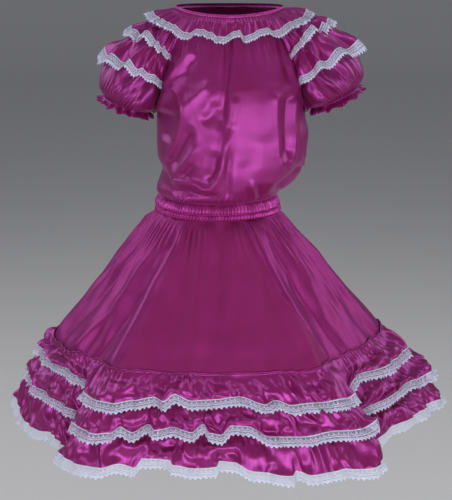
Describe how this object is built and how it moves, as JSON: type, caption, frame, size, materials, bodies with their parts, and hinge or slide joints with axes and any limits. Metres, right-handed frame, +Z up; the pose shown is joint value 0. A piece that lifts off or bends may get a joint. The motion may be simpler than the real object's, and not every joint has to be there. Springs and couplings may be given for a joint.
{
  "type": "square dance dress",
  "caption": "Worn satin dress for square dancing: ruffled elastic neck, puff sleeves, bloused bodice, elastic waist and a flared skirt with gathered tiers, edged with white lace.",
  "frame": {"origin": "middle of the waist opening, level with the seam between the waist casing and the skirt, where the wearer's waist holds the dress", "axes": "+Z up along the wearer, -Y to the front of the dress, +X to the right as seen from the front"},
  "size_m": [0.9656, 0.7566, 0.8752],
  "materials": {
    "satin_bodice": "plum polyester satin with a soft sheen",
    "satin_skirt": "plum polyester satin, smooth panels",
    "satin_ruffle": "plum polyester satin, gathered into ruffles",
    "satin_shirred": "plum polyester satin shirred over elastic",
    "lace": "white openwork edging lace with scalloped points"
  },
  "bodies": {
    "root": {"bodice_front": "satin_bodice", "bodice_back": "satin_bodice", "neck_casing": "satin_shirred", "neck_ruffle": "satin_ruffle", "neck_lace": "lace", "sleeve_left": "satin_bodice", "sleeve_ruffle_upper_left": "satin_ruffle", "sleeve_lace_upper_left": "lace", "sleeve_ruffle_lower_left": "satin_ruffle", "sleeve_lace_lower_left": "lace", "sleeve_right": "satin_bodice", "sleeve_ruffle_upper_right": "satin_ruffle", "sleeve_lace_upper_right": "lace", "sleeve_ruffle_lower_right": "satin_ruffle", "sleeve_lace_lower_right": "lace", "waist_casing": "satin_shirred", "skirt_front": "satin_skirt", "skirt_right": "satin_skirt", "skirt_back": "satin_skirt", "skirt_left": "satin_skirt", "tier_1": "satin_ruffle", "tier_lace_1": "lace", "tier_2": "satin_ruffle", "tier_lace_2": "lace", "tier_3": "satin_ruffle", "tier_lace_3": "lace"}
  },
  "joints": []
}
